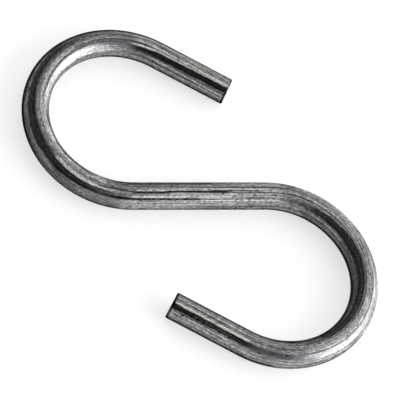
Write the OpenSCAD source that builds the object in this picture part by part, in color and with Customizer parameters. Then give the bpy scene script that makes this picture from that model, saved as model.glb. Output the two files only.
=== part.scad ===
// S hook bent cold from one straight length of round steel wire.
// It lies flat on its side: z = 0 is the surface that it rests on, and Z runs across the wire.
// The origin is the middle of the shank. The two ends are the same, one turned half a turn
// about Z, and +X is the line of pull, through the middles of both bends.
// The bend radius is measured to the middle of the wire.

/* [Wire] */
// Diameter of the wire
wire_d = 6.35; // [4:0.05:8]
// Bevel left round the rim of each cropped end
end_bevel = 0.25; // [0.1:0.05:0.6]
// How much radius the wire loses where it is bent
bend_draw = 0.02; // [0.005:0.005:0.05]

/* [Shank] */
// Straight length between the two bends
shank_len = 32; // [20:0.5:44]

/* [Bends] */
// Radius that both ends are bent to, round the same pin
bend_r = 20.5; // [17:0.5:26]
// Angle that each end is bent through; past 180 degrees the tip leans in towards the shank
bend_angle = 212; // [190:1:225]

/* [Tip] */
// Straight length from the bend to the cropped end
tip_len = 18.5; // [6:0.5:22]

/* [Hidden] */

wire_r = wire_d / 2;
bent_r = wire_r - bend_draw;
// Each bend runs on this far into its neighbours, so that all the runs join as one solid
lap = 0.2;
wire_faces = 32;
bend_faces = 96;

// The middle line of the bend: it starts at the end of the shank and turns clockwise
bend_start = [shank_len / 2, 0];
bend_middle = bend_start - [0, bend_r];

// Where the bend ends and the straight tip starts, and the way the wire runs there
tip_heading = -bend_angle;
tip_start = bend_middle + bend_r * [-sin(tip_heading), cos(tip_heading)];

// Direction from the middle of the shank to the middle of the bend
pull_angle = atan2(bend_middle.y, bend_middle.x);

// Stands its children at a place on the middle line, with +Z along the wire
module along_wire(place, heading) {
    translate([place.x, place.y, 0])
        rotate([0, 90, heading])
            children();
}

module shank() {
    along_wire(-bend_start, 0)
        cylinder(h = shank_len, r = wire_r, $fn = wire_faces);
}

// Clockwise bend from the end of the shank round to the tip
module bend() {
    lap_angle = lap / bend_r * 180 / PI;
    translate(bend_middle)
        rotate(90 - bend_angle - lap_angle)
            rotate_extrude(angle = bend_angle + 2 * lap_angle, $fn = bend_faces)
                translate([bend_r, 0])
                    circle(r = bent_r, $fn = wire_faces);
}

// Straight tip: its end is cropped flat, square to the wire, with a bevelled rim
module tip() {
    along_wire(tip_start, tip_heading)
        rotate_extrude($fn = wire_faces)
            polygon([
                [0, 0],
                [wire_r, 0],
                [wire_r, tip_len - end_bevel],
                [wire_r - end_bevel, tip_len],
                [0, tip_len],
            ]);
}

// One hook, from the end of the shank out to its tip
module end_hook() {
    bend();
    tip();
}

// The whole wire, laid down with the line of pull along X
module hook() {
    color([0.62, 0.62, 0.6])
        translate([0, 0, wire_r])
            rotate(-pull_angle) {
                shank();
                for (turn = [0, 180])
                    rotate(turn) end_hook();
            }
}

hook();
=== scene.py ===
"""S hook of bright drawn steel wire: the visual model, with its floor, studio light and camera.

Lengths are in millimetres and angles in degrees until a mesh, lamp or camera is made. A place
along the wire is measured from the middle of the shank: it is negative towards the first end and
positive towards the second. An angle round the wire is 0 on top, and positive to the left of the
way from the first end to the second.
"""

import math
from collections import namedtuple

import bpy
import numpy as np
from mathutils import Euler, Matrix, Vector


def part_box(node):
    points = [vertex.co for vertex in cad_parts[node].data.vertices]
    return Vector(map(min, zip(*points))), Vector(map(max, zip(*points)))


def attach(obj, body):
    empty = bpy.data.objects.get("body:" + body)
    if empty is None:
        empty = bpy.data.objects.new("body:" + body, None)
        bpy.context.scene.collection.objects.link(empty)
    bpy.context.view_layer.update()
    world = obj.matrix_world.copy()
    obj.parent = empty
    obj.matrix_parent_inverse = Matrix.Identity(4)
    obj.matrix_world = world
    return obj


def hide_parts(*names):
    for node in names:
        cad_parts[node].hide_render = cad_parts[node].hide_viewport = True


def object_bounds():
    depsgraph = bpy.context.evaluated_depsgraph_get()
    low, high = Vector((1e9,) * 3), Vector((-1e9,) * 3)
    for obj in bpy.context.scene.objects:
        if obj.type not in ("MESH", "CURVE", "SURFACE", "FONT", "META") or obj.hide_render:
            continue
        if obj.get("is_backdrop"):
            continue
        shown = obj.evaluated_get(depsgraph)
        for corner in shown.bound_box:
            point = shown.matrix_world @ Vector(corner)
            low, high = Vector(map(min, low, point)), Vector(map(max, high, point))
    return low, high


MM = 0.001

# The middle line of one half of the wire, from the middle of the shank outwards: the sizes of
# the CAD part. The bend of that half turns clockwise, and the other half is the same.
SHANK_LENGTH = 32.0
BEND_RADIUS, BEND_ANGLE = 20.5, 212.0
TIP_LENGTH = 18.5

# Fineness of the wire's mesh, and the angles of its sides in radians
SIDES = 160
RING_STEP = 0.4
AROUND = np.arange(SIDES) * 2 * math.pi / SIDES

# Cropped ends: the rim rolls over this far along the wire and inwards. Between these shares of the
# roll its brightness falls to this factor, painted shade that gives the ends a dark outline, and it
# loses its burnishing.
ROLL_LENGTH, ROLL_DEPTH, ROLL_RINGS = 0.6, 0.2, 8
RIM_TONE, RIM_EDGE = 0.15, (0.0, 0.3)
# One stretch of the first end's rim, between two angles, stands out further and takes the rim's
# painted shade later.
# It fades just inside both angles.
BRIGHT_RIM, BRIGHT_RIM_FADE = (-120.0, 16.0), 6.0
BRIGHT_RIM_STEP, BRIGHT_RIM_EDGE = 0.04, (0.15, 0.70)
# The ends aren't cropped quite alike. The first is a little out of square: the angle where it
# reaches furthest out, and how much further that is than on the other side. The second is a
# little longer all round. Both are taken up over the same length of wire.
FIRST_END_SLANT, FIRST_END_STEP = 105.0, 0.32
SECOND_END_STEP = 0.14
END_STEP_LENGTH = 4.0
# End faces: their rings of points, how far they lean back towards the bottom, and brightness. The
# lower part of each is broken: its depth, how rough that is as a share of it, and the heights on
# the face, in radii, between which it comes in.
FACE_RINGS, FACE_LEAN, FACE_TONE = 7, 0.75, 0.5
FRACTURE_DEPTH, FRACTURE_ROUGHNESS, FRACTURE_START = 0.05, 0.3, (0.3, -0.1)
FACE_SEED = 11

# Ripples of the skin: height, how many waves are added up, how often each repeats round the wire,
# and its length along the wire. The last kind comes only where the wire is bent.
LONG_RIPPLES = (0.006, 10, (2, 7), (60, 400))
FINE_RIPPLES = (0.003, 30, (8, 24), (60, 600))
BEND_RIPPLES = (0.003, 40, (6, 20), (1.2, 4))
SURFACE_SEED = 7
# Length of wire over which the skin of a straight run goes over into that of a bend
BEND_EASE = 4.0

# Tracks pressed nearly flat and burnished by the rolls and the bending pin: places along the
# wire, with the angle and half the width of the track there
TRACKS = (
    # First tip, and inside of the first bend
    (
        (-120, 31.5, 12), (-110, 32, 12), (-93, 34, 12), (-90, 37, 9.5),
        (-84, 38, 10), (-75, 38, 12), (-66, 40, 12), (-58, 44, 11), (-42, 43, 10),
    ),
    # Outside of the second bend, and second tip
    (
        (44, 42, 11), (50, 40, 11), (57, 36.5, 11), (65, 38, 11), (78, 39, 11),
        (88, 32.5, 10.5), (98, 30.7, 10.3), (106, 29.7, 10.6), (120, 29.7, 10.6),
    ),
    # Outside of the first bend
    (
        (-71, -24, 12), (-60, -24, 11), (-52, -25, 13), (-44, -30.5, 17),
        (-36, -35, 14), (-28, -37, 12), (-16, -40, 11),
    ),
    # Inside of the second bend
    (
        (18, -42, 10), (28, -40, 12), (36, -37, 15), (44, -31, 17),
        (52, -28, 14), (60, -30, 12), (76, -34, 12),
    ),
)
# Share of the wire's own curve that a track keeps, how far its half width wanders and in what
# waves (as for the ripples), the shares of its half width between which its burnishing ends, and
# the length it fades in over
TRACK_CURVE = 0.2
TRACK_WANDER, WANDER_WAVES = 0.9, (12, (0, 0), (1.5, 10))
TRACK_EDGE = (0.94, 1.10)
TRACK_FADE = 5.0

# Long marks, and bands of painted shade and painted highlight laid out the same way: width, what
# they multiply the steel's brightness by, depth, which is negative where they stand out, and places
# along the wire with the mark's angle there. A mark that runs past the end of the wire doesn't fade
# there.

# Painted shade: darker bands along the wire's flanks, and dark outlines along the far edges of its
# tips
PAINTED_SHADE_FLANKS = (
    (1.1, 0.35, 0.0, ((-118, -42), (-78, -42))),
    (1.2, 0.20, 0.0, ((-114, 103), (-84, 105), (-76, 107))),
    (0.9, 0.30, 0.0, ((-82, -42), (-72, -47), (-63, -56))),
    (4.2, 0.50, 0.0, ((-70, -80), (-18, -80))),
    (1.0, 0.20, 0.0, ((-66, -53), (-60, -59), (-52, -72), (-44, -87), (-36, -108), (-22, -112))),
    (1.1, 0.20, 0.0, ((16, -112), (30, -109), (36, -103), (44, -90), (52, -80), (60, -68))),
    (4.2, 0.50, 0.0, ((24, -78), (74, -78))),
    (1.0, 0.25, 0.0, ((58, -70), (68, -57), (75, -45), (84, -38))),
    (1.3, 0.20, 0.0, ((78, -42), (118, -45))),
    (1.8, 0.20, 0.0, ((83, 100), (92, 101), (98, 105), (104, 102), (114, 102))),
)
# Bright streaks, grey bands and black scratches from the drawing die and the bending tools. Many of
# them are partly or wholly painted light: painted highlights that brighten the bends' highlights and
# the shank, and painted shade that dims them
TOOL_MARKS_AND_PAINTED_LIGHT = (
    # First tip
    (0.9, 1.80, 0.0, ((-114, 13), (-88, 14))),
    (1.6, 1.45, 0.0, ((-114, -2), (-84, -6))),
    (0.60, 0.60, 0.0, ((-104, 67), (-84, 66))),
    (1.4, 1.60, 0.0, ((-103, -6), (-90, -9), (-80, -16), (-71, -14))),
    (0.8, 1.50, 0.0, ((-101, 16), (-91, 17))),
    (0.40, 0.45, 0.0, ((-93, 29), (-84.5, 29))),
    (1.1, 0.35, 0.0, ((-92.5, 38), (-84.5, 39))),
    (0.50, 3.40, -0.015, ((-92, 23), (-90, 23.5), (-84.2, 23.5))),
    (0.60, 0.45, 0.0, ((-92, 15), (-68, 14.5))),
    # Painted shade: dims the reflection where the first tip meets the bend
    (0.90, 0.60, 0.0, ((-92, 57), (-79, 57))),
    (0.7, 0.60, 0.0, ((-91, -31), (-80, -33))),
    # First bend
    (0.45, 0.45, 0.015, ((-86, 28), (-82, 24.5), (-75, 24), (-66, 24), (-60, 28), (-54, 29))),
    (1.1, 1.80, 0.0, ((-86, 41), (-79, 41))),
    (1.0, 0.50, 0.0, ((-81, -35), (-71, -38))),
    # Painted highlight: brightens the upper edge of the first bend's highlight
    (1.0, 1.50, 0.0, ((-70, 57), (-58, 58), (-48, 46))),
    (0.70, 2.20, 0.0, ((-66, -42), (-60, -45), (-52, -50), (-44, -55), (-34, -58))),
    # Painted highlight: carries the first bend's highlight on towards the shank
    (0.90, 1.80, 0.0, ((-57, 43), (-50, 38), (-44, 31), (-36, 24), (-28, 20), (-22, 16))),
    (1.8, 0.72, 0.0, ((-50, -63), (-42, -66), (-28, -72))),
    (1.0, 1.60, 0.0, ((-42, 50), (-25, 48))),
    (0.60, 0.28, 0.010, ((-41, 35), (-26, 31))),
    (0.74, 3.40, -0.020, ((-37.5, -13.5), (-24, -19.5))),
    (0.50, 0.40, 0.010, ((-36, -45), (-16.5, -40))),
    (0.80, 1.60, 0.0, ((-31, -55), (-15, -54))),
    (0.50, 2.60, 0.0, ((-27, -20), (-19.5, -13))),
    (0.50, 0.15, 0.020, ((-26, -13), (-20, -6), (-15, -10))),
    # Shank
    # Painted highlight: a broad lighter band along the top of the shank
    (1.6, 1.65, 0.0, ((-28, 26), (-8, 30), (20, 34))),
    (1.3, 0.35, 0.0, ((-25, 47), (-14, 46))),
    (0.55, 0.30, 0.020, ((-22, 41), (-12, 37.5), (4, 37.5))),
    (0.66, 0.14, 0.025, ((-22, -41), (-11.5, -41.5))),
    (0.45, 1.40, 0.0, ((-19, -2), (-8.5, -2))),
    (0.65, 0.08, 0.030, ((-18, -13.5), (-7, -13))),
    (0.70, 1.72, 0.0, ((-17.5, -32.5), (12, -34))),
    (0.95, 1.50, 0.0, ((-17, -58), (9, -56))),
    (0.64, 0.26, 0.015, ((-15, -41.5), (0, -42))),
    (0.60, 1.70, 0.0, ((-14, 2), (16.5, 1))),
    (0.38, 1.90, 0.0, ((-11.5, -4.5), (3, -4.5))),
    (0.54, 0.02, 0.030, ((-10.5, -9.5), (7.5, -9.5))),
    (0.40, 0.45, 0.010, ((-6, -41.5), (4, -42))),
    (1.2, 0.38, 0.0, ((-4, 50), (17, 50))),
    (0.30, 0.35, 0.015, ((4, -5.5), (15.5, -5))),
    # Second bend
    (0.45, 0.35, 0.010, ((19, -8), (28.5, -12))),
    (1.6, 2.00, 0.0, ((21, 44), (38, 44))),
    (0.70, 1.90, 0.0, ((24, -57), (40, -60))),
    (0.50, 1.60, 0.0, ((26, -21), (39, -15))),
    (0.40, 0.50, 0.010, ((27.5, -12), (38.5, -12))),
    (1.2, 0.65, 0.0, ((38, -66), (48, -69), (56, -66))),
    (1.4, 0.60, 0.0, ((40, 13), (57, 16))),
    # Painted highlight: brightens the start of the second bend's highlight
    (1.2, 1.50, 0.0, ((46, 38), (56, 36))),
    # Painted highlight: a second highlight near the outer edge of the second bend
    (1.2, 1.90, 0.0, ((47, 60), (56, 64), (65, 70))),
    (0.40, 0.40, 0.015, ((47, 27), (56, 23), (66, 25), (80, 26))),
    # Painted shade: dims the second bend's highlight
    (1.5, 0.66, 0.0, ((55, 48), (62, 45), (70, 42), (80, 45), (89, 57))),
    (2.2, 0.62, 0.0, ((77, 23), (88, 19))),
    # Second tip
    (0.66, 2.50, 0.0, ((90, 14), (98, 13.5), (114, 14.5))),
    (0.60, 1.60, 0.0, ((91, 4), (114, 5))),
    (0.60, 1.60, 0.0, ((92, 46), (114, 46))),
    (0.80, 1.50, 0.0, ((92, -12), (114, -12))),
    (0.9, 1.80, 0.0, ((95, 30), (104.5, 30))),
    (0.36, 0.35, 0.010, ((96, 0), (114, -2))),
)
# How soft the sides of a mark or pit are, as a share of its width, and the length that the ends of
# a mark fade over
MARK_SOFTNESS = 0.3
MARK_FADE = 2.5

# Single pits, and dark spots on the second end's rim that are painted shade: place along the wire,
# angle, width
PITS = (
    # First tip and bend
    (-100.5, -3, 0.32), (-97.0, 10, 0.30), (-44.5, -20, 0.34),
    # Speckles in a black scratch of the shank
    (-11.9, -41, 0.42), (-10.2, -42.5, 0.36), (-8.4, -41, 0.46),
    (-6.3, -42.5, 0.40), (-4.3, -41.5, 0.50), (-1.7, -42, 0.34),
    # From the shank to the second bend
    (4.6, -19, 0.42), (7.4, -30, 0.36), (9.6, -21, 0.34), (11.0, -39, 0.30), (12.4, -27, 0.38),
    (14.8, -19, 0.32), (17.6, -24, 0.40), (20.8, -29, 0.36), (24.5, -36, 0.36), (28.6, -30, 0.34),
    (33.0, -48, 0.42), (49.8, 12, 0.42), (82.6, 31, 0.40), (88.5, 44, 0.35),
    # Second tip, and dark spots of painted shade on its rim
    (98.2, 40, 0.40), (102.0, 30.5, 0.45), (102.1, 37.5, 0.40), (105.5, 36, 0.50), (107.2, 48, 0.55),
    (110.05, 27, 0.50), (110.05, 20, 0.52), (110.15, 12, 0.36),
)
# How deep they are, what they multiply the brightness by, and how much longer than wide they are
PIT_DEPTH, PIT_TONE, PIT_STRETCH = 0.03, 0.06, 1.6

# Brightness of the steel, and of the tint of what it reflects near grazing angles
STEEL_TONE, EDGE_TONE = 0.293, 0.0
# Patterns of the skin, as noise: size across the wire and along it, detail and roughness
PATTERNS = {
    "fine_lines": (0.26, 36.0, 2.0, 0.6),
    "broad_lines": (1.0, 90.0, 1.0, 0.5),
    "bands": (2.4, 160.0, 1.0, 0.5),
    "mottle": (0.8, 1.6, 2.0, 0.5),
    "grain": (0.22, 0.80, 1.0, 0.7),
    "tint_patches": (4.0, 14.0, 2.0, 0.5),
    "worn_spots": (0.30, 2.5, 2.0, 0.7),
    "pit_clusters": (3.0, 5.0, 1.0, 0.5),
}
# The range of each pattern that counts, and the factors of the brightness at its two ends. The
# fine lines and the grain give what is added to 1, times their contrast.
LEVELS = {
    "fine_lines": (0.36, 0.64, -1.0, 1.0),
    "broad_lines": (0.32, 0.68, 0.85, 1.15),
    "bands": (0.35, 0.65, 0.95, 1.05),
    "mottle": (0.30, 0.70, 1.12, 0.88),
    "grain": (0.32, 0.68, 0.65, -0.65),
}
# Contrast of the fine lines where the wire is straight and where it is bent. Near the second end
# it falls by this factor, over this stretch.
STRAIGHT_CONTRAST, BENT_CONTRAST = 0.80, 0.60
CALM_FROM, CALM_CONTRAST = (82.0, 92.0), 0.72
# The burnished tracks of the bends are sleek to the left of the wire's top: the share of the fine
# lines, the grain and the worn spots that is left, and the distances to the left between which
# that comes in
SLEEK_CONTRAST, SLEEK_EDGE = 0.45, (0.0, 1.0)
# Height of the patterns in the bump
RELIEF = {"fine_lines": 0.016, "broad_lines": 0.05, "mottle": 0.02, "grain": 0.006}
# Small scattered pits in the material, one to a cell of noise: cells per millimetre, how far from
# its middle a pit ends, the values of the clusters' noise between which pits come in, the factor of
# the brightness, the roughness added and the height
CELL_SCALE, CELL_PIT, CLUSTER_EDGE = 0.9, (0.07, 0.16), (0.50, 0.58)
CELL_PIT_TONE, CELL_PIT_ROUGHNESS, CELL_PIT_RELIEF = 0.15, 0.3, -0.05

# Roughness of the drawn skin, and of the tracks where the wire is straight and bent
DRAWN_ROUGHNESS, TRACK_ROUGHNESS, BENT_TRACK_ROUGHNESS = 0.47, 0.08, 0.22
# Worn spots lose this share of the burnishing, the mottle adds roughness, and the brightest marks
# multiply it: the range of each that counts comes first
WORN_RANGE, WORN_SHARE = (0.52, 0.64), 0.25
MOTTLE_RANGE, MOTTLE_ROUGHNESS = (0.35, 0.70), 0.06
BRIGHT_MARK_RANGE, BRIGHT_MARK_ROUGHNESS = (1.8, 2.8), 1.5

# Tints of the steel. The warm one lies in patches on the tips and on the brightest marks, and the
# cool one where the tips join the bends. Each comes in over a stretch of the wire, and lies between
# two distances to the left of the wire's top.
PLAIN_TINT, WARM_TINT, COOL_TINT = (0.995, 1, 1.005, 1), (1.02, 1, 0.93, 1), (0.985, 1, 1.07, 1)
WARM_FROM, WARM_SIDES = (86.0, 93.0), ((-0.8, 0.3), (1.6, 1.1))
WARM_PATCHES, WARM_MARKS = (0.3, 0.6, 0.3, 1.0), (2.2, 2.9)
COOL_FROM, COOL_TO, COOL_SIDES = (74.0, 80.0), (94.0, 84.0), ((-0.4, 0.6), (2.8, 1.9))

# Camera: its turns about its own X and Y axes, distance, sideways and upward step, lens, nearest
# and furthest that it sees
CAMERA_PITCH, CAMERA_YAW = 28.6, -16.7
CAMERA_DISTANCE = 739.0
CAMERA_STEP = (0.09, -0.9)
CAMERA_LENS, CAMERA_SENSOR = 288.0, 36.0
CAMERA_CLIP = (10.0, 20000.0)

# Floor: its side, its colour, and how much it is lifted where the camera and the metal see it
FLOOR_SIZE = 5000.0
FLOOR_TONE = 0.45
FLOOR_LIFT = 0.62

# Light, at levels where 1 looks white. The world: its levels overhead and at the horizon, the
# heights between which the one goes over into the other, where 1 is straight up, and a wide glow,
# with its azimuth, angle from straight up and level
SKY_TOP, SKY_HORIZON = 0.29, 1.25
SKY_RISE = (0.05, 0.45)
GLOW_AZIMUTH, GLOW_POLAR, GLOW_LEVEL = 102.0, 62.0, 1.00
# Panels that face the hook: azimuth, angle from straight up, roll, distance, width, height, level.
# The lamps are a soft box, as a wide face with a brighter middle, and a long strip light. The dark
# cards are seen only in the steel.
LAMPS = {
    "box_face": (20, 88, -37, 600, 590, 570, 3.15),
    "box_heart": (20, 88, -37, 599, 355, 340, 2.6),
    "strip_light": (37, 61, -25, 590, 1015, 250, 2.6),
}
CARDS = {
    "front_card": (213, 46, 27, 620, 1850, 1270, 0.04),
    "side_card": (145, 76, -54, 640, 1230, 585, 0.08),
}


# ---------------------------------------------------------------- path of the wire


def turned(point, degrees):
    """A point in the plane, turned about the origin."""
    c, s = math.cos(math.radians(degrees)), math.sin(math.radians(degrees))
    return np.array([c * point[0] - s * point[1], s * point[0] + c * point[1]])


# A straight or bent run of the wire: its radius is None where it is straight
Run = namedtuple("Run", "start heading length radius")
# All rings of points round the wire, each at its distance from the middle of the shank
Rings = namedtuple("Rings", "along place heading curvature")


def bend_middle(run):
    """The point that a run is bent round, to the right of its way."""
    return run.start + turned((0.0, -run.radius), run.heading)


def run_point(run, along):
    """Place and heading at a distance along a run."""
    if run.radius is None:
        return run.start + turned((along, 0.0), run.heading), run.heading
    heading = run.heading - math.degrees(along / run.radius)
    return bend_middle(run) + turned((0.0, run.radius), heading), heading


def half_runs():
    """The straight and bent runs of one half, in order."""
    plan = (
        (SHANK_LENGTH / 2, None),
        (math.radians(BEND_ANGLE) * BEND_RADIUS, BEND_RADIUS),
        (TIP_LENGTH, None),
    )
    runs = []
    place, heading = np.zeros(2), 0.0
    for length, radius in plan:
        runs.append(Run(place, heading, length, radius))
        place, heading = run_point(runs[-1], length)
    return runs


def pull_angle(runs):
    """Direction from the middle of the shank to the middle of the bend."""
    middle = bend_middle(runs[1])
    return math.degrees(math.atan2(middle[1], middle[0]))


def wire_rings(runs):
    """All the rings, from the first end of the wire to the second."""
    half = sum(run.length for run in runs)
    rim = half - np.linspace(0, ROLL_LENGTH, ROLL_RINGS + 1)
    middle = np.linspace(-rim[-1], rim[-1], 2 * round(half / RING_STEP) + 1)
    pull = pull_angle(runs)
    rows = []
    for distance in (*-rim[:-1], *middle, *rim[-2::-1]):
        rest, side = abs(distance), math.copysign(1.0, distance)
        for run in runs:
            if rest <= run.length or run is runs[-1]:
                break
            rest -= run.length
        place, heading = run_point(run, min(rest, run.length))
        curvature = 0.0 if run.radius is None else side / run.radius
        rows.append((distance, turned(side * place, -pull), heading - pull, curvature))
    return Rings(*(np.array(column) for column in zip(*rows)))


def ring_axes(rings, wire_r):
    """Middle of each ring, the way ahead there, and the directions out to all its sides."""
    heading = np.radians(rings.heading)
    flat = np.zeros(len(heading))
    middle = np.column_stack([rings.place, flat + wire_r])
    ahead = np.stack([np.cos(heading), np.sin(heading), flat], 1)
    left = np.stack([-np.sin(heading), np.cos(heading), flat], 1)
    up = np.array([0.0, 0.0, 1.0])
    out = np.sin(AROUND)[:, None] * left[:, None] + np.cos(AROUND)[:, None] * up
    return middle, ahead, out


# ---------------------------------------------------------------- surface of the wire


def waves(generator, around, along, count, turns, pitch):
    """Smooth random waves over the wire, from -1 to 1 or so, that close up round it."""
    total = np.zeros(np.broadcast(around, along).shape)
    for _ in range(count):
        number = generator.integers(turns[0], turns[1] + 1)
        rate = 2 * math.pi / generator.uniform(*pitch) * generator.choice((-1, 1))
        phase = generator.uniform(0, 2 * math.pi)
        total += np.cos(number * around + rate * along + phase)
    return total * math.sqrt(2 / count) / 2


def ramp(values, start, end):
    """0 before start, 1 after end, and a smooth rise between them."""
    t = np.clip((values - start) / (end - start), 0, 1)
    return t * t * (3 - 2 * t)


def stretch(values, start, end, fade):
    """1 between start and end, fading to 0 just inside them."""
    return ramp(values, start, start + fade) * (1 - ramp(values, end - fade, end))


def turned_from(angle):
    """Degrees round the wire from an angle to every side, between -180 and 180."""
    return (np.degrees(AROUND) - angle + 180) % 360 - 180


def smoothed(values):
    """Running mean over the length in which a straight run goes over into a bend."""
    reach = round(BEND_EASE / 2 / RING_STEP)
    padded = np.pad(values, reach, mode="edge")
    return np.convolve(padded, np.ones(2 * reach + 1) / (2 * reach + 1), mode="valid")


def tracks(generator, along, wire_r):
    """Depth of the flattened tracks, and share of the burnishing, at every point of the wire."""
    depth = np.zeros((len(along), SIDES))
    burnish = np.zeros((len(along), SIDES))
    for places in TRACKS:
        at, angles, half_widths = zip(*places)
        wander = TRACK_WANDER * waves(generator, 0.0, along, *WANDER_WAVES)
        half_width = np.interp(along, at, half_widths) + wander
        offset = turned_from(np.interp(along, at, angles)) / half_width
        present = stretch(along, at[0], at[-1], TRACK_FADE)
        flat = (1 - TRACK_CURVE) * wire_r * np.radians(half_width) ** 2 / 2
        depth += flat * present * np.clip(1 - offset**2, 0, 1)
        burnish = np.maximum(burnish, present * (1 - ramp(np.abs(offset), *TRACK_EDGE)))
    return depth, burnish


def inside_mark(away, width):
    """1 in a mark or pit of this width and 0 outside it, by the distance from its middle."""
    return 1 - ramp(away, width * (0.5 - MARK_SOFTNESS), width * (0.5 + MARK_SOFTNESS))


def marks_pits_and_painted_light(along, wire_r):
    """Depth, and what the brightness is multiplied by, at every point of the wire: marks, painted
    shade, painted highlights and pits.
    """
    depth = np.zeros((len(along), SIDES))
    tone = np.ones((len(along), SIDES))
    # The flanks' painted shade, and the tool marks with their painted highlights and painted shade
    for width, bright, deep, places in PAINTED_SHADE_FLANKS + TOOL_MARKS_AND_PAINTED_LIGHT:
        at, angles = zip(*places)
        across = np.radians(turned_from(np.interp(along, at, angles))) * wire_r
        inside = inside_mark(np.abs(across), width) * stretch(along, at[0], at[-1], MARK_FADE)
        depth += deep * inside
        tone *= 1 + (bright - 1) * inside
    for at, angle, width in PITS:
        across = np.radians(turned_from(angle)) * wire_r
        inside = inside_mark(np.hypot(across, (along - at) / PIT_STRETCH), width)
        depth += PIT_DEPTH * inside
        tone *= 1 + (PIT_TONE - 1) * inside
    return depth, tone


def surface(rings, wire_r):
    """Radius, share of bend, brightness and burnishing of the wire, at every ring and side."""
    generator = np.random.default_rng(SURFACE_SEED)
    along = rings.along[:, None]
    bend = ramp(np.abs(smoothed(rings.curvature)), 0.0, 1 / BEND_RADIUS)[:, None]
    radius = np.full((len(along), SIDES), wire_r)
    for share, ripples in ((1, LONG_RIPPLES), (1, FINE_RIPPLES), (bend, BEND_RIPPLES)):
        height, *kind = ripples
        radius += height * share * waves(generator, AROUND, along, *kind)
    sunk, burnish = tracks(generator, along, wire_r)
    depth, tone = marks_pits_and_painted_light(along, wire_r)
    return radius - sunk - depth, bend, tone, burnish


def roll_rims(along, radius, tone, burnish):
    """The surface with its rims rolled over and darkened with painted shade, and how far out their
    bright stretch stands.
    """
    near_end = 1 - np.clip((along[-1] - np.abs(along)) / ROLL_LENGTH, 0, 1)
    bright = stretch(turned_from(0.0), *BRIGHT_RIM, BRIGHT_RIM_FADE) * (along < 0)
    worn = ramp(near_end, *RIM_EDGE)
    # Painted shade: the rolled rim darkens towards the end, and its bright stretch only nearer the
    # very end
    painted_rim_shade = np.maximum(worn * (1 - bright), ramp(near_end, *BRIGHT_RIM_EDGE))
    radius = radius - ROLL_DEPTH * (1 - np.sqrt(1 - near_end**2))
    tone = tone * (1 - (1 - RIM_TONE) * painted_rim_shade)
    return radius, tone, burnish * (1 - worn), BRIGHT_RIM_STEP * near_end * bright


def end_steps(along):
    """How far each point moves along the wire, as its two ends aren't cropped quite alike."""
    near_first = np.clip((along[0] + END_STEP_LENGTH - along) / END_STEP_LENGTH, 0, 1)
    near_second = np.clip((along - along[-1] + END_STEP_LENGTH) / END_STEP_LENGTH, 0, 1)
    slant = (1 + np.cos(np.radians(turned_from(FIRST_END_SLANT)))) / 2
    return SECOND_END_STEP * near_second - FIRST_END_STEP * slant * near_first


def face_rings(generator, wire_r):
    """Rings of an end face from its rim inwards: share of the radius, and how far out they lie."""
    for step in range(1, FACE_RINGS + 1):
        share = 1 - step / (FACE_RINGS + 0.5)
        height = share * np.cos(AROUND)
        rough = generator.normal(0, FRACTURE_ROUGHNESS, SIDES)
        sunk = ramp(height, *FRACTURE_START) * FRACTURE_DEPTH * (1 + rough)
        lean = math.tan(math.radians(FACE_LEAN)) * wire_r * (height - 1)
        yield share, lean - sunk


# ---------------------------------------------------------------- mesh of the wire


def wire_place(along, radius):
    """Where a ring's points would lie if the wire were straight: what the finish is laid out by."""
    x, y, z = np.broadcast_arrays(radius * np.cos(AROUND), radius * np.sin(AROUND), along)
    return np.stack([x, y, z], -1)


class RingMesh:
    """Collects a mesh's rings of points, what the material reads at them, and the faces."""

    def __init__(self):
        self.points, self.places, self.finish, self.faces = [], [], [], []
        self.count = 0

    def add(self, points, places, bend, tone, burnish):
        """Adds rings of points, and returns the numbers of their points."""
        shape = points.shape[:-1]
        self.points.append(points.reshape(-1, 3))
        self.places.append(places.reshape(-1, 3))
        values = [np.broadcast_to(value, shape) for value in (bend, tone, burnish)]
        self.finish.append(np.stack(values, -1).reshape(-1, 3))
        numbers = self.count + np.arange(math.prod(shape)).reshape(shape)
        self.count += numbers.size
        return numbers

    def join(self, first, second):
        """Quads from rings to the rings further along the wire, closed round it."""
        quads = np.stack([first, second, np.roll(second, -1, -1), np.roll(first, -1, -1)], -1)
        self.faces += quads.reshape(-1, 4).tolist()

    def finished(self, name):
        """The mesh that was collected."""
        mesh = bpy.data.meshes.new(name)
        mesh.from_pydata((np.concatenate(self.points) * MM).tolist(), [], self.faces)
        store(mesh, "wire_place", "FLOAT_VECTOR", "vector", np.concatenate(self.places))
        for kind, values in zip(("bend", "tone", "burnish"), np.concatenate(self.finish).T):
            store(mesh, kind, "FLOAT", "value", values)
        mesh.polygons.foreach_set("use_smooth", [True] * len(mesh.polygons))
        return mesh


def store(mesh, name, kind, field, values):
    """Gives the points of a mesh an attribute."""
    attribute = mesh.attributes.new(name, kind, "POINT")
    attribute.data.foreach_set(field, values.astype(np.float32).ravel())


def wire_mesh(name, rings, wire_r):
    """The bent wire: a ring of points round the middle line at every station, closed by two ends."""
    along = rings.along[:, None]
    middle, ahead, out = ring_axes(rings, wire_r)
    radius, bend, tone, burnish = surface(rings, wire_r)
    radius, tone, burnish, rim_step = roll_rims(along, radius, tone, burnish)
    step = end_steps(along) - rim_step
    parts = RingMesh()
    points = middle[:, None] + radius[..., None] * out + step[..., None] * ahead[:, None]
    numbers = parts.add(points, wire_place(along, wire_r), bend, tone, burnish)
    parts.join(numbers[:-1], numbers[1:])
    # The two end faces, from their rims inwards
    generator = np.random.default_rng(FACE_SEED)
    for ring, side in ((0, -1), (-1, 1)):
        edge = numbers[ring]
        for share, shift in face_rings(generator, wire_r):
            points = middle[ring] + share * radius[ring][:, None] * out[ring]
            points += (side * shift + step[ring])[:, None] * ahead[ring]
            inner = parts.add(points, wire_place(along[ring], share * wire_r), 0.0, FACE_TONE, 0.0)
            first, second = (edge, inner) if side > 0 else (inner, edge)
            parts.join(first, second)
            edge = inner
        parts.faces.append((edge if side < 0 else edge[::-1]).tolist())
    return parts.finished(name)


# ---------------------------------------------------------------- materials


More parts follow.
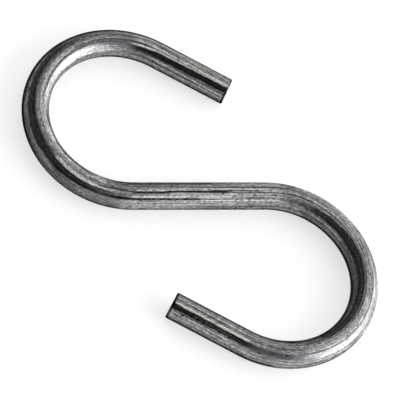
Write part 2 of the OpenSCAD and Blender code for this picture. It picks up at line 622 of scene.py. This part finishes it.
class Nodes:
    """Adds and links the nodes of one material or world."""

    def __init__(self, owner):
        owner.use_nodes = True
        self.tree = owner.node_tree

    def add(self, kind, inputs=None, output=0, **settings):
        """Adds a shader node, and returns one of its outputs."""
        node = self.tree.nodes.new("ShaderNode" + kind)
        for name, value in settings.items():
            setattr(node, name, value)
        for name, value in (inputs or {}).items():
            self.set(node.inputs[name], value)
        return node.outputs[output]

    def set(self, socket, value):
        """Links a socket to another, or gives it a value."""
        if isinstance(value, bpy.types.NodeSocket):
            self.tree.links.new(value, socket)
        else:
            socket.default_value = value

    def attribute(self, name, output="Fac"):
        """What the mesh has stored at its points."""
        return self.add("Attribute", output=output, attribute_name=name)

    def maths(self, operation, *values):
        """A node of arithmetic, on plain values or outputs."""
        return self.add("Math", dict(enumerate(values)), operation=operation)

    def product(self, *values):
        """All the values multiplied."""
        total = values[0]
        for value in values[1:]:
            total = self.maths("MULTIPLY", total, value)
        return total

    def noise(self, place, across, along, detail, roughness):
        """Noise with a pattern this wide across the wire and this long along it, from 0 to 1."""
        scale = (1.0, 1.0, across / along)
        place = self.add("VectorMath", {0: place, 1: scale}, operation="MULTIPLY")
        inputs = {"Vector": place, "Scale": 1 / across, "Detail": detail, "Roughness": roughness}
        return self.add("TexNoise", inputs, "Fac")

    def spread(self, value, low, high, to_low=0.0, to_high=1.0):
        """Maps low..high to to_low..to_high, clamped."""
        inputs = {"Value": value, "From Min": low, "From Max": high}
        inputs.update({"To Min": to_low, "To Max": to_high})
        return self.add("MapRange", inputs)

    def mix(self, share, first, second):
        """This share of the second colour in the first."""
        node = self.tree.nodes.new("ShaderNodeMix")
        node.data_type = "RGBA"
        for name, value in (("Factor", share), ("A", first), ("B", second)):
            sockets = [s for s in node.inputs if s.name == name and s.enabled]
            self.set(sockets[0], value)
        return [s for s in node.outputs if s.enabled][0]


def grey(level):
    """A colour without tint."""
    return (level, level, level, 1.0)


def steel_skin(nodes):
    """What the look is made from: values of the mesh, patterns, pits, share of texture left."""
    place = nodes.attribute("wire_place", "Vector")
    skin = {name: nodes.attribute(name) for name in ("bend", "tone", "burnish")}
    skin["side"] = nodes.add("SeparateXYZ", {0: place}, "Y")
    skin["along"] = nodes.add("SeparateXYZ", {0: place}, "Z")
    for name, sizes in PATTERNS.items():
        skin[name] = nodes.noise(place, *sizes)

    cells = {"Vector": place, "Scale": CELL_SCALE, "Randomness": 1.0}
    in_pit = nodes.spread(nodes.add("TexVoronoi", cells, "Distance"), *CELL_PIT, 1.0, 0.0)
    skin["pits"] = nodes.product(in_pit, nodes.spread(skin["pit_clusters"], *CLUSTER_EDGE))

    on_left = nodes.spread(skin["side"], *SLEEK_EDGE)
    sleek = nodes.product(skin["burnish"], skin["bend"], on_left)
    skin["texture"] = nodes.spread(sleek, 0.0, 1.0, 1.0, SLEEK_CONTRAST)
    return skin


def steel_level(nodes, skin):
    """Brightness of the steel, as its patterns, marks and pits leave it."""
    by_bend = nodes.spread(skin["bend"], 0.0, 1.0, STRAIGHT_CONTRAST, BENT_CONTRAST)
    by_place = nodes.spread(skin["along"], *CALM_FROM, 1.0, CALM_CONTRAST)
    contrast = nodes.product(by_bend, skin["texture"], by_place)
    levels = {name: nodes.spread(skin[name], *limits) for name, limits in LEVELS.items()}
    return nodes.product(
        nodes.maths("MULTIPLY_ADD", levels["fine_lines"], contrast, 1.0),
        levels["broad_lines"],
        levels["bands"],
        levels["mottle"],
        nodes.maths("MULTIPLY_ADD", levels["grain"], skin["texture"], 1.0),
        skin["tone"],
        nodes.spread(skin["pits"], 0.0, 1.0, 1.0, CELL_PIT_TONE),
        STEEL_TONE,
    )


def steel_tint(nodes, skin):
    """The steel's tint: plain, warm or cool."""
    from_middle = nodes.maths("ABSOLUTE", skin["along"])
    warm = nodes.product(
        nodes.spread(from_middle, *WARM_FROM),
        nodes.spread(skin["tint_patches"], *WARM_PATCHES),
        *(nodes.spread(skin["side"], *edge) for edge in WARM_SIDES),
    )
    warm = nodes.maths("MAXIMUM", warm, nodes.spread(skin["tone"], *WARM_MARKS))
    cool = nodes.product(
        nodes.spread(from_middle, *COOL_FROM),
        nodes.spread(from_middle, *COOL_TO),
        *(nodes.spread(skin["side"], *edge) for edge in COOL_SIDES),
    )
    return nodes.mix(warm, nodes.mix(cool, PLAIN_TINT, COOL_TINT), WARM_TINT)


def steel_roughness(nodes, skin):
    """Roughness: least on the burnished tracks, more where those are bent, most on drawn skin."""
    worn = nodes.product(nodes.spread(skin["worn_spots"], *WORN_RANGE), skin["texture"], WORN_SHARE)
    polished = nodes.product(skin["burnish"], nodes.maths("SUBTRACT", 1.0, worn))
    track = nodes.spread(skin["bend"], 0.0, 1.0, TRACK_ROUGHNESS, BENT_TRACK_ROUGHNESS)
    rough = nodes.spread(polished, 0.0, 1.0, DRAWN_ROUGHNESS, track)
    mottle = nodes.spread(skin["mottle"], *MOTTLE_RANGE)
    rough = nodes.maths("MULTIPLY_ADD", mottle, MOTTLE_ROUGHNESS, rough)
    rough = nodes.maths("MULTIPLY_ADD", skin["pits"], CELL_PIT_ROUGHNESS, rough)
    bright_marks = nodes.spread(skin["tone"], *BRIGHT_MARK_RANGE, 1.0, BRIGHT_MARK_ROUGHNESS)
    return nodes.product(rough, bright_marks)


def steel_relief(nodes, skin):
    """Height of the patterns and pits."""
    height = nodes.product(skin["pits"], CELL_PIT_RELIEF)
    for name, relief in RELIEF.items():
        height = nodes.maths("MULTIPLY_ADD", skin[name], relief, height)
    return nodes.add("Bump", {"Strength": 1.0, "Distance": MM, "Height": height})


def drawn_steel():
    """Bright drawn wire: long draw lines, a mottled and pitted skin, burnished tracks, marks."""
    material = bpy.data.materials.new("drawn_steel")
    nodes = Nodes(material)
    skin = steel_skin(nodes)
    colour = {0: steel_tint(nodes, skin), "Scale": steel_level(nodes, skin)}
    shader = nodes.tree.nodes["Principled BSDF"]
    nodes.set(shader.inputs["Base Color"], nodes.add("VectorMath", colour, operation="SCALE"))
    nodes.set(shader.inputs["Roughness"], steel_roughness(nodes, skin))
    nodes.set(shader.inputs["Normal"], steel_relief(nodes, skin))
    shader.inputs["Metallic"].default_value = 1.0
    shader.inputs["Specular Tint"].default_value = grey(EDGE_TONE)
    return material


def floor_material():
    """Matt pale floor. What the camera and the metal see of it is lifted to white."""
    material = bpy.data.materials.new("floor")
    nodes = Nodes(material)
    shader = nodes.tree.nodes["Principled BSDF"]
    shader.inputs["Base Color"].default_value = grey(FLOOR_TONE)
    shader.inputs["Roughness"].default_value = 1.0
    shader.inputs["Specular IOR Level"].default_value = 0.0
    ray = nodes.tree.nodes.new("ShaderNodeLightPath").outputs
    seen = nodes.maths("MAXIMUM", ray["Is Camera Ray"], ray["Is Glossy Ray"])
    seen = nodes.maths("MAXIMUM", seen, ray["Is Transmission Ray"])
    shader.inputs["Emission Color"].default_value = grey(1.0)
    nodes.set(shader.inputs["Emission Strength"], nodes.product(seen, FLOOR_LIFT))
    return material


def card_material(level):
    """Plain light at the level of a dark card."""
    material = bpy.data.materials.new("card")
    nodes = Nodes(material)
    nodes.tree.nodes.clear()
    shader = nodes.add("Emission", {"Color": grey(level), "Strength": 1.0})
    output = nodes.tree.nodes.new("ShaderNodeOutputMaterial")
    nodes.set(output.inputs["Surface"], shader)
    return material


# ---------------------------------------------------------------- scene


def add(name, data):
    """Puts a new object with this data in the scene."""
    piece = bpy.data.objects.new(name, data)
    bpy.context.scene.collection.objects.link(piece)
    return piece


def add_hook(runs, wire_r):
    """The wire, in the place of the CAD node."""
    hook = add("wire", wire_mesh("wire", wire_rings(runs), wire_r))
    hook.data.materials.append(drawn_steel())
    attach(hook, "root")
    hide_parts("hook")


def add_sheet(name, width, height, material):
    """A flat rectangle, in its own XY plane."""
    mesh = bpy.data.meshes.new(name)
    x, y = width / 2 * MM, height / 2 * MM
    mesh.from_pydata([(-x, -y, 0), (x, -y, 0), (x, y, 0), (-x, y, 0)], [], [(0, 1, 2, 3)])
    mesh.materials.append(material)
    return add(name, mesh)


def add_floor():
    """The pale floor that the hook lies on."""
    add_sheet("floor", FLOOR_SIZE, FLOOR_SIZE, floor_material())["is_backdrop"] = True


def direction(azimuth, polar):
    """Unit vector at an azimuth and an angle from straight up."""
    a, p = math.radians(azimuth), math.radians(polar)
    return Vector((math.cos(a) * math.sin(p), math.sin(a) * math.sin(p), math.cos(p)))


def panel_place(azimuth, polar, roll, distance):
    """Place of a panel whose own Z points away from the hook."""
    back = direction(azimuth, polar)
    side = Vector((0, 0, 1)).cross(back).normalized()
    axes = Matrix((side, back.cross(side), back)).transposed()
    turn = Matrix.Rotation(math.radians(roll), 3, "Z")
    place = (axes @ turn).to_4x4()
    place.translation = back * distance * MM
    return place


def add_lamp(name, azimuth, polar, roll, distance, width, height, level):
    """A rectangle of light, at a level where 1 looks white."""
    data = bpy.data.lights.new(name, "AREA")
    data.shape = "RECTANGLE"
    data.size, data.size_y = width * MM, height * MM
    data.energy = level * math.pi * data.size * data.size_y
    lamp = add(name, data)
    lamp.matrix_world = panel_place(azimuth, polar, roll, distance)
    lamp.visible_camera = False


def add_card(name, azimuth, polar, roll, distance, width, height, level):
    """A dark card that neither the camera nor the floor sees."""
    card = add_sheet(name, width, height, card_material(level))
    card.matrix_world = panel_place(azimuth, polar, roll, distance)
    card.visible_camera = False
    card.visible_diffuse = False
    card.visible_shadow = False
    card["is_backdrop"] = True


def add_world():
    """Pale surroundings, brighter at the horizon than overhead, with a wide glow to one side."""
    world = bpy.data.worlds.new("studio")
    bpy.context.scene.world = world
    nodes = Nodes(world)
    towards = nodes.add("TexCoord", output="Generated")
    height = nodes.add("SeparateXYZ", {0: towards}, "Z")
    rise = {"Value": height, "From Min": SKY_RISE[0], "From Max": SKY_RISE[1]}
    rise.update({"To Min": SKY_HORIZON, "To Max": SKY_TOP})
    sky = nodes.add("MapRange", rise, interpolation_type="SMOOTHSTEP")
    side = direction(GLOW_AZIMUTH, GLOW_POLAR)
    glow = nodes.add("VectorMath", {0: towards, 1: side}, "Value", operation="DOT_PRODUCT")
    level = nodes.maths("MULTIPLY_ADD", nodes.maths("MAXIMUM", glow, 0.0), GLOW_LEVEL, sky)
    background = nodes.tree.nodes["Background"].inputs
    background["Color"].default_value = grey(1.0)
    nodes.set(background["Strength"], level)


def add_studio():
    """All the light: the world, the lamps and the dark cards."""
    add_world()
    for name, panel in LAMPS.items():
        add_lamp(name, *panel)
    for name, panel in CARDS.items():
        add_card(name, *panel)


def add_camera(runs, wire_r):
    """The photo's camera. But for its small steps, it looks at the middle of the shank."""
    data = bpy.data.cameras.new("camera")
    data.lens, data.sensor_width = CAMERA_LENS, CAMERA_SENSOR
    data.clip_start, data.clip_end = (distance * MM for distance in CAMERA_CLIP)
    camera = add("camera", data)
    camera.rotation_mode = "YXZ"
    turns = (CAMERA_PITCH, CAMERA_YAW, -pull_angle(runs))
    camera.rotation_euler = Euler([math.radians(a) for a in turns], "YXZ")
    step = camera.rotation_euler.to_matrix() @ Vector((*CAMERA_STEP, CAMERA_DISTANCE))
    camera.location = (Vector((0, 0, wire_r)) + step) * MM
    bpy.context.scene.camera = camera


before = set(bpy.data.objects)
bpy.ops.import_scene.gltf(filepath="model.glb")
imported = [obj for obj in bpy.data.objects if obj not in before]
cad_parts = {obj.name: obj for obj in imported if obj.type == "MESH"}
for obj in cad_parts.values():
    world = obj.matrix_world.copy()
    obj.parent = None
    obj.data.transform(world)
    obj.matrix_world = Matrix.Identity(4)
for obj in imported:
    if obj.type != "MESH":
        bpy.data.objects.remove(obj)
cad_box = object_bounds()
hook_low, hook_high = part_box("hook")
wire_radius = (hook_high.z - hook_low.z) / 2 / MM
half_plan = half_runs()

add_camera(half_plan, wire_radius)
add_hook(half_plan, wire_radius)
add_floor()
add_studio()
bpy.context.scene.view_settings.view_transform = "Standard"

boxes = {"cad_box": cad_box, "visual_box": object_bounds()}
{name: [list(corner) for corner in box] for name, box in boxes.items()}
